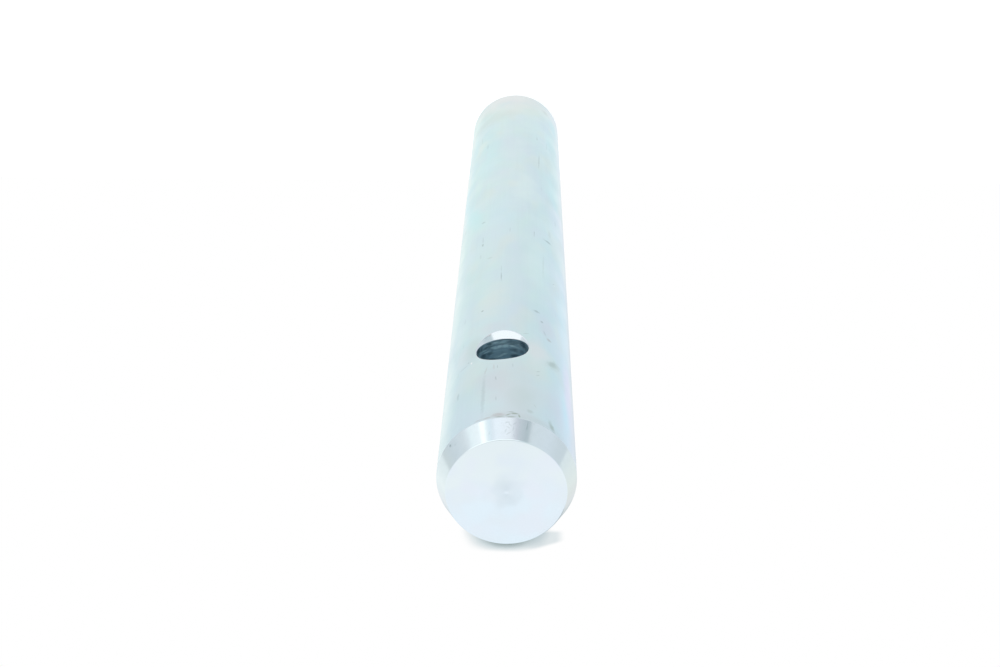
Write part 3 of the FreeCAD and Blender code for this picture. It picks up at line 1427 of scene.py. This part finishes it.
@dataclass(frozen=True)
class BoreFinish(Metal):
    """The drilled bore: thinly plated and dull, darkened further as painted shade, with lighter arcs where
    the drill rubbed that are partly painted highlights.

    Its rings are rubbed ones: distance from the pin's axis, width and strength. Its marks go by the
    distance from the pin's axis, as their height, and by the angle round the hole from its lower
    side. They are the same at both ends of the hole. The shade marks are painted shade, and the
    scored ones are drill marks lit as painted highlights.
    """

    name: str = "thin_zinc_and_painted_shade_in_bore"
    # Darker than thin zinc alone: painted shade inside the hole.
    colour: Colour = (0.38, 0.56, 0.65)
    roughness: float = 0.4
    line_depth: float = 0.012
    metallic: float = 0.7
    line_pitch: float = 0.5
    line_gaps: float = 0.6
    line_amount: float = 0.45
    ring_wander: float = 0.35
    bright_colour: Colour = (0.6, 0.8, 0.86)
    dark_colour: Colour = (0.17, 0.28, 0.35)
    dark_amount: float = 0.5
    rings: tuple[Triple, ...] = (
        (7.6, 0.4, 0.6),
        (5.3, 0.5, 0.5),
        (2.9, 0.4, 0.6),
        (0.9, 0.5, 0.5),
    )
    marks: tuple[Mark, ...] = (
        # Painted shade.
        Mark(12.8, -73.0, 2.4, 3.8, 90.0, 0.90, Tone.SHADE),
        Mark(12.9, -27.0, 0.6, 3.6, 92.0, 0.60, Tone.SHADE),
        Mark(12.5, 55.0, 2.8, 3.4, 90.0, 0.80, Tone.SHADE),
        Mark(10.6, -55.0, 1.6, 2.8, 100.0, 0.65, Tone.SHADE),
        Mark(12.3, 25.0, 0.9, 3.4, 80.0, 0.50, Tone.SHADE),
        Mark(12.8, 24.0, 0.8, 4.0, 88.0, 0.45, Tone.SHADE),
        Mark(12.5, -58.0, 2.0, 1.8, 90.0, 0.60, Tone.SHADE),
        Mark(12.1, 43.0, 1.2, 1.8, 90.0, 0.55, Tone.SHADE),
        Mark(10.4, 45.0, 1.4, 2.4, 90.0, 0.42, Tone.SHADE),
        Mark(12.2, -42.0, 0.7, 4.2, 92.0, 0.55, Tone.SHADE),
        Mark(12.2, -8.0, 0.35, 3.4, 90.0, 0.35, Tone.SHADE),
        Mark(10.4, -34.0, 0.9, 3.0, 95.0, 0.45, Tone.SHADE),
        Mark(10.6, 22.0, 0.9, 3.6, 92.0, 0.45, Tone.SHADE),
        Mark(9.0, 24.0, 1.0, 3.4, 84.0, 0.60, Tone.SHADE),
        Mark(8.9, -38.0, 1.0, 4.4, 104.0, 0.65, Tone.SHADE),
        Mark(13.35, 8.0, 0.5, 7.0, 90.0, 0.50, Tone.SHADE),
        # Scored drill marks, lit as painted highlights.
        Mark(11.7, -20.0, 0.55, 2.6, 96.0, 0.75, Tone.SCORED_GLINT),
        Mark(11.6, -11.0, 0.95, 2.3, 84.0, 1.00, Tone.SCORED_GLINT),
        Mark(11.4, -19.0, 0.70, 2.2, 98.0, 0.85, Tone.SCORED_GLINT),
        Mark(11.75, 6.0, 0.60, 2.8, 90.0, 0.95, Tone.SCORED_GLINT),
        Mark(11.4, 4.0, 0.55, 3.2, 92.0, 0.80, Tone.SCORED_GLINT),
        Mark(11.6, 18.0, 0.65, 2.8, 98.0, 0.90, Tone.SCORED_GLINT),
        Mark(11.3, 33.0, 0.45, 2.0, 101.0, 0.45, Tone.SCORED_GLINT),
        Mark(12.8, -18.0, 0.5, 2.4, 95.0, 0.85, Tone.SCORED_GLINT),
        Mark(12.6, -2.0, 0.5, 2.4, 90.0, 0.65, Tone.SCORED_GLINT),
        Mark(12.95, 3.0, 0.4, 3.0, 88.0, 0.55, Tone.SCORED_GLINT),
        Mark(11.8, -53.0, 0.32, 3.6, 96.0, 0.65, Tone.SCORED_GLINT),
        Mark(11.15, -43.0, 0.36, 2.8, 92.0, 0.85, Tone.SCORED_GLINT),
        Mark(9.2, -18.0, 0.45, 2.4, 87.0, 0.35, Tone.SCORED_GLINT),
        Mark(9.45, -3.0, 0.7, 2.2, 78.0, 0.70, Tone.SCORED_GLINT),
        Mark(9.15, -9.0, 0.5, 2.6, 80.0, 0.85, Tone.SCORED_GLINT),
        Mark(9.8, 23.0, 0.6, 2.2, 95.0, 0.35, Tone.SCORED_GLINT),
        Mark(11.9, 41.0, 0.8, 1.7, 110.0, 0.30, Tone.SCORED_GLINT),
    )

    def work(self, coat: Coat) -> None:
        """Lays the rubbed rings, the drill's lines and the marks over the bore, with painted shade and
        highlights among them.

        Args:
            coat: The material in the making.
        """
        sheet, point = coat.sheet, coat.point
        deep = sheet.math("ABSOLUTE", coat.place["Depth"])
        swing = self.ring_wander
        wander = sheet.remap(sheet.noise(point, 0.16), 0.3, 0.7, -swing, swing)
        across = sheet.plus(deep, wander)
        rings = []
        for depth, width, strength in self.rings:
            apart = sheet.math("ABSOLUTE", sheet.minus(across, depth))
            rings.append(sheet.remap(apart, width, 0.1 * width, 0.0, strength))
        broken = sheet.remap(sheet.noise(point, 0.45, 3.0, 0.6), 0.38, 0.58, 0.15, 1.0)
        lines = coat.tool_lines(across, self.line_pitch, self.line_gaps)
        fine = sheet.remap(lines["Shade"], 0.55, 1.0, 0.0, self.line_amount)
        lit = sheet.most(sheet.times(sheet.most(*rings), broken), fine)
        dark = sheet.remap(sheet.noise(point, 0.3), 0.42, 0.6, 0.0, self.dark_amount)
        # The rubbed rings' lightness is partly a painted highlight.
        base = sheet.blend(lit, sheet.blend(dark, self.colour, self.dark_colour), self.bright_colour)
        radius_mm = coat.effects.bore_radius_mm
        ground = coat.ground(coat.place["Bore Girth"], deep, radius_mm, FINE_RAGGEDNESS)
        marked, _ = coat.lay_marks(ground, self.marks, base)
        coat.feed("Base Color", marked)
        coat.roughen(lines["Height"])


@dataclass(frozen=True)
class PlatedPin:
    """The whole pin: its skin, dressed in its finishes."""

    sizes: PinSizes
    name: str = "plated_pin"

    def build(self) -> bpy.types.Object:
        """Builds the pin, in place of the CAD node.

        Returns:
            The pin.
        """
        skin = Skin()
        hole = CrossHole(self.sizes)
        TurnedBar(self.sizes).add_to(skin, hole)
        hole.add_to(skin)
        pin = skin.weld(self.name)
        effects = Effects(self.sizes)
        finishes = {
            Finish.SHANK: ShankFinish(),
            Finish.LEAD_IN: LeadInFinish(),
            Finish.END_FACE: EndFaceFinish(),
            Finish.COUNTERSINK: CountersinkFinish(),
            Finish.BORE: BoreFinish(),
        }
        for finish in Finish:
            pin.data.materials.append(finishes[finish].build(effects))
        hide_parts(PIN_NODE)
        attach(pin, PIN_BODY)
        return pin


@dataclass(frozen=True)
class Sky:
    """The world's sheet, and how far each direction points across, away and above."""

    sheet: Sheet
    across: Socket
    away: Socket
    above: Socket


@dataclass(frozen=True)
class Studio:
    """The pale floor and backdrop, the soft light, and the camera at the photograph's place.

    Its own directions go by the photograph, in which the pin points at the camera: across is the
    picture's right, away runs from the near end to the far one, and above is plumb. Each ring of the
    room's colours goes by the angle from plumb, in degrees, to the picture's right.
    """

    sizes: PinSizes
    hole_lean: float = math.radians(-6.17)
    camera_before: float = 256.6 * MM
    camera_above: float = 161.41 * MM
    camera_aside: float = 3.41 * MM
    camera_turn: float = math.radians(-1.0511)
    camera_tilt: float = math.radians(25.845)
    lens: float = 51.75
    sensor: float = 36.0
    clip_start: float = 10 * MM
    floor_half: float = 1.5
    floor_lit: float = 0.55
    floor_glow: float = 0.62
    backdrop_gap: float = 10 * MM
    shadow_reach: float = 5 * MM
    shadow_samples: int = 16
    shadow_left: float = 0.45
    shadow_near: float = 0.1
    shadow_stops: tuple[Stop, ...] = (
        (0.1, (0.22, 0.29, 0.29)),
        (0.24, (0.615, 0.70, 0.73)),
        (0.52, WHITE),
    )
    thrown_colour: Colour = (0.745, 0.80, 0.82)
    stand_colour: Colour = (0.72, 0.77, 0.79)
    facing_colour: Colour = (0.80, 0.84, 0.86)
    facing_amount: float = 0.4
    # Painted shade of the table under the pin, as the rim reflects it.
    table_shadow_colour: Colour = (0.33, 0.37, 0.38)
    backdrop_level: tuple[Colour, Colour] = ((0.935, 0.91, 0.93), (1.12, 1.09, 1.03))
    ceiling_ring: tuple[Stop, ...] = (
        (-160.0, (0.81, 0.87, 0.90)),
        (-130.0, (1.09, 1.12, 1.09)),
        (-104.0, (1.02, 1.06, 1.04)),
        (-98.0, (0.80, 0.84, 0.83)),
        (-84.0, (0.79, 0.84, 0.86)),
        (-74.0, (0.826, 0.877, 0.903)),
        (-62.0, (0.89, 0.925, 0.94)),
        (-56.0, (0.973, 1.01, 1.027)),
        (-51.0, (1.10, 1.155, 1.15)),
        (-38.0, (1.18, 1.20, 1.19)),
        (-35.5, (1.42, 1.42, 1.42)),
        (-31.0, (1.42, 1.42, 1.42)),
        (-28.5, (1.18, 1.20, 1.17)),
        (-24.0, (0.974, 1.07, 1.11)),
        (-19.4, (1.01, 1.048, 1.086)),
        (-14.7, (1.144, 1.166, 1.20)),
        (4.0, (1.09, 1.09, 1.11)),
        (8.7, (0.954, 0.958, 0.99)),
        (13.4, (0.78, 0.78, 0.82)),
        (18.0, (0.71, 0.747, 0.776)),
        (27.4, (0.607, 0.668, 0.69)),
        (30.5, (0.65, 0.71, 0.73)),
        (32.5, (0.83, 0.87, 0.885)),
        (37.0, (0.873, 0.92, 0.94)),
        (60.0, (0.87, 0.919, 0.956)),
        (74.0, (0.81, 0.86, 0.885)),
        (88.0, (0.79, 0.84, 0.86)),
        (91.5, (0.957, 1.0, 0.99)),
        (108.0, (0.99, 1.02, 0.98)),
        (125.0, (1.0, 1.02, 0.96)),
        (141.0, (0.93, 0.93, 0.89)),
        (160.0, (0.76, 0.82, 0.80)),
    )
    front_ring: tuple[Stop, ...] = (
        (-180.0, (1.04, 1.04, 1.05)),
        (-98.0, (1.04, 1.04, 1.05)),
        (-88.0, (0.90, 0.91, 0.93)),
        (-66.0, (0.90, 0.91, 0.93)),
        (-58.0, (1.32, 1.32, 1.31)),
        (17.0, (1.32, 1.32, 1.31)),
        (21.0, (0.76, 0.84, 0.86)),
        (60.0, (0.76, 0.82, 0.85)),
        (88.0, (0.80, 0.84, 0.88)),
        (98.0, (1.04, 1.04, 1.05)),
        (180.0, (1.04, 1.04, 1.05)),
    )
    backdrop_ring: tuple[Stop, ...] = (
        (-180.0, (0.66, 0.76, 0.79)),
        (-166.0, (0.78, 0.88, 0.90)),
        (-146.0, (1.22, 1.21, 1.16)),
        (-122.0, (1.015, 1.06, 1.07)),
        (-85.0, (0.965, 0.995, 1.0)),
        (-43.0, (0.99, 0.975, 0.98)),
        (0.0, (0.98, 0.97, 0.985)),
        (41.0, (0.94, 0.97, 0.98)),
        (82.0, (0.89, 0.97, 1.0)),
        (120.0, (1.0, 1.04, 1.11)),
        (146.0, (1.16, 1.09, 1.11)),
        (160.0, (0.82, 0.87, 0.85)),
        (170.0, (0.66, 0.73, 0.74)),
        (180.0, (0.66, 0.76, 0.79)),
    )

    @property
    def across(self) -> Vector:
        """The picture's right."""
        return Vector((-math.cos(self.hole_lean), -math.sin(self.hole_lean), 0.0))

    @property
    def away(self) -> Vector:
        """From the near end, with the cross hole, to the far one."""
        return Vector((0.0, 0.0, -1.0))

    @property
    def above(self) -> Vector:
        """Up in the photograph's room."""
        return Vector((math.sin(self.hole_lean), -math.cos(self.hole_lean), 0.0))

    @property
    def shadow_lean(self) -> Triple:
        """Where the contact shadow's sky lies: above the backdrop, and over to the picture's left."""
        lean = self.above - self.shadow_left * self.across - self.shadow_near * self.away
        return tuple(lean.normalized())

    def build_camera(self) -> bpy.types.Object:
        """Sets the camera up by the pin's near end.

        Returns:
            The camera.
        """
        data = bpy.data.cameras.new("photo_camera")
        data.lens = self.lens
        data.sensor_width = self.sensor
        data.clip_start = self.clip_start
        camera = bpy.data.objects.new("photo_camera", data)
        bpy.context.scene.collection.objects.link(camera)
        turn, tilt = self.camera_turn, self.camera_tilt
        level = self.across * math.sin(turn) + self.away * math.cos(turn)
        forward = level * math.cos(tilt) - self.above * math.sin(tilt)
        right = self.across * math.cos(turn) - self.away * math.sin(turn)
        up = right.cross(forward)
        near_end = Vector((0.0, 0.0, self.sizes.length))
        eye = near_end - self.away * self.camera_before
        eye += self.above * self.camera_above + self.across * self.camera_aside
        turned = Matrix((right, up, -forward)).transposed().to_4x4()
        camera.matrix_world = Matrix.Translation(eye) @ turned
        bpy.context.scene.camera = camera
        return camera

    @staticmethod
    def show_to_camera(sheet: Sheet, surface: Socket) -> None:
        """Shows a stage surface to the camera alone, and only from its front. All light passes it.

        Args:
            sheet: The material's sheet.
            surface: The surface's shader.
        """
        front = sheet.minus(1.0, sheet.node("NewGeometry").outputs["Backfacing"])
        seen = sheet.times(sheet.node("LightPath").outputs["Is Camera Ray"], front)
        clear = sheet.node("BsdfTransparent").outputs[0]
        mixed = sheet.node("MixShader", {0: seen, 1: clear, 2: surface}).outputs[0]
        sheet.node("OutputMaterial", {"Surface": mixed})

    @staticmethod
    def build_panel(name: str, corners: list[Vector], material: bpy.types.Material) -> bpy.types.Object:
        """Makes a flat stage panel.

        Args:
            name: The panel's name.
            corners: Its corners, counter-clockwise seen from its front.
            material: What it is finished in.

        Returns:
            The panel.
        """
        mesh = bpy.data.meshes.new(name)
        mesh.from_pydata([tuple(c) for c in corners], [], [tuple(range(len(corners)))])
        mesh.materials.append(material)
        panel = bpy.data.objects.new(name, mesh)
        bpy.context.scene.collection.objects.link(panel)
        return panel

    def build_floor(self) -> bpy.types.Object:
        """Lays the pale floor that the pin stands on.

        Returns:
            The floor.
        """
        material = bpy.data.materials.new("pale_floor")
        sheet = Sheet.of(material)
        diffuse = sheet.node("BsdfDiffuse", {"Color": (self.floor_lit,) * 3}).outputs[0]
        glow = sheet.node("Emission", {"Color": WHITE, "Strength": self.floor_glow}).outputs[0]
        self.show_to_camera(sheet, sheet.node("AddShader", {0: diffuse, 1: glow}).outputs[0])
        sides = ((-1, -1), (1, -1), (1, 1), (-1, 1))
        corners = [Vector((x, y, 0.0)) * self.floor_half for x, y in sides]
        return self.build_panel("floor", corners, material)

    def contact_shadow(self, sheet: Sheet) -> Socket:
        """The shadow under the pin's near end in the photograph, and what the end throws to its right.

        Args:
            sheet: The backdrop's sheet.

        Returns:
            The backdrop's colour, which is white away from the shadow.
        """
        settings = {"Distance": self.shadow_reach, "Normal": self.shadow_lean}
        sky = sheet.node("AmbientOcclusion", settings, samples=self.shadow_samples).outputs["AO"]
        point = sheet.stretch(sheet.node("TexCoord").outputs["Object"], PER_MM)
        aside = sheet.dot(point, tuple(self.across))
        height = sheet.node("SeparateXYZ", {0: point}).outputs["Z"]
        before = sheet.minus(height, self.sizes.length / MM)
        slanted = sheet.plus(aside, sheet.times(before, 2.0))
        thrown = sheet.within(
            (slanted, 4.5, 1.5),
            (aside, 3.0, 8.5),
            (aside, 13.0, 10.5),
            (before, -0.8, -2.0),
            (before, -9.2, -7.4),
        )
        under = sheet.ramp(sky, self.shadow_stops)
        shadow = sheet.blend(thrown, under, self.thrown_colour, "MULTIPLY")
        return sheet.blend(sheet.remap(before, -7.5, -11.0), shadow, WHITE)

    def build_backdrop(self) -> bpy.types.Object:
        """Stands the pale sheet on which the pin lies in the photograph behind it, with its shadow.

        The shadow is kept to the pin's upper end, the near one in the photograph. The sheet stops short
        of the floor, so that neither darkens the other.

        Returns:
            The backdrop.
        """
        material = bpy.data.materials.new("pale_backdrop")
        sheet = Sheet.of(material)
        glow = sheet.node("Emission", {"Color": self.contact_shadow(sheet), "Strength": 1.0})
        self.show_to_camera(sheet, glow.outputs[0])
        touching = -self.above * self.sizes.radius
        half = self.floor_half
        places = ((1.0, self.backdrop_gap), (-1.0, self.backdrop_gap), (-1.0, half), (1.0, half))
        corners = [touching + self.across * side * half - self.away * height for side, height in places]
        return self.build_panel("backdrop", corners, material)

    @staticmethod
    def ring(sky: Sky, stops: tuple[Stop, ...]) -> Socket:
        """Colours of the room by the angle from plumb.

        Args:
            sky: The world's sheet and directions.
            stops: Angles in degrees, to the picture's right, and colours, in order.

        Returns:
            The colour.
        """
        turn = sky.sheet.math("ARCTAN2", sky.across, sky.above)
        place = sky.sheet.plus(sky.sheet.math("DIVIDE", turn, 2 * math.pi), 0.5)
        return sky.sheet.ramp(place, tuple((angle / 360 + 0.5, colour) for angle, colour in stops))

    def front_side(self, sky: Sky) -> Socket:
        """The side of the tent towards the camera, with the darker shape of the camera's stand in it.

        A fainter dark patch lies straight behind the camera.

        Args:
            sky: The world's sheet and directions.

        Returns:
            The colour.
        """
        sheet, across, away, above = sky.sheet, sky.across, sky.away, sky.above
        stand = sheet.within(
            (away, -0.35, -0.6),
            (above, 0.72, 0.6),
            (above, -0.42, -0.3),
            (sheet.math("ABSOLUTE", across), 0.32, 0.1),
        )
        facing = sheet.within((away, -0.5, -0.62), (above, 0.0, 0.2))
        colour = sheet.blend(stand, self.ring(sky, self.front_ring), self.stand_colour)
        return sheet.blend(sheet.times(facing, self.facing_amount), colour, self.facing_colour)

    def table_shadow_patch(self, sky: Sky) -> Socket:
        """Where the pin's shadow on the table lies, low down at the picture's right: a dark patch in the
        room, as a painted reflection of that shade.

        Args:
            sky: The world's sheet and directions.

        Returns:
            Its mask.
        """
        sheet, across = sky.sheet, sky.across
        low = sheet.within((sky.above, -0.62, -0.75), (sky.away, 0.45, 0.25))
        steps = sheet.plus(
            sheet.remap(across, 0.08, 0.2, 0.0, 0.4),
            sheet.remap(across, 0.4, 0.52, 0.0, 0.6),
        )
        return sheet.times(low, sheet.times(steps, sheet.remap(across, 0.68, 0.6)))

    def far_side(self, sky: Sky) -> Socket:
        """The side of the tent away from the camera.

        Args:
            sky: The world's sheet and directions.

        Returns:
            The colour.
        """
        around, straight = self.backdrop_level
        level = sky.sheet.blend(sky.sheet.remap(sky.away, 0.86, 0.965), around, straight)
        return sky.sheet.blend(1.0, self.ring(sky, self.backdrop_ring), level, "MULTIPLY")

    def build_light(self) -> None:
        """Lights the scene from all round, as in a white photo tent. The camera sees plain white."""
        world = bpy.data.worlds.new("white_tent")
        bpy.context.scene.world = world
        sheet = Sheet.of(world)
        direction = sheet.node("TexCoord").outputs["Generated"]
        sky = Sky(sheet, *(sheet.dot(direction, tuple(v)) for v in (self.across, self.away, self.above)))
        ceiling = self.ring(sky, self.ceiling_ring)
        room = sheet.blend(sheet.remap(sky.away, 0.16, 0.04), ceiling, self.front_side(sky))
        # Painted reflection of the pin's shadow on the table, for the lower rim to mirror.
        room = sheet.blend(self.table_shadow_patch(sky), room, self.table_shadow_colour)
        tent = sheet.blend(sheet.remap(sky.away, 0.66, 0.8), room, self.far_side(sky))
        seen = sheet.node("LightPath").outputs["Is Camera Ray"]
        colour = sheet.blend(seen, tent, WHITE)
        background = sheet.node("Background", {"Color": colour, "Strength": 1.0}).outputs[0]
        sheet.node("OutputWorld", {"Surface": background})

    def build(self) -> list[bpy.types.Object]:
        """Sets up the camera, the floor, the backdrop and the light.

        Returns:
            The floor and the backdrop.
        """
        self.build_camera()
        panels = [self.build_floor(), self.build_backdrop()]
        self.build_light()
        return panels


def main() -> None:
    """Builds the pin and the studio round it."""
    logging.basicConfig(level=logging.INFO, format="%(message)s")
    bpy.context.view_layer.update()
    sizes = PinSizes.from_frame(frame["record"])
    pin = PlatedPin(sizes).build()
    faces, finishes = len(pin.data.polygons), len(pin.data.materials)
    log.info("%s: %d faces, %d finishes", pin.name, faces, finishes)
    for panel in Studio(sizes).build():
        log.info("%s: stage", panel.name)
    bpy.context.scene.view_settings.view_transform = "Standard"


if __name__ == "__main__":
    main()
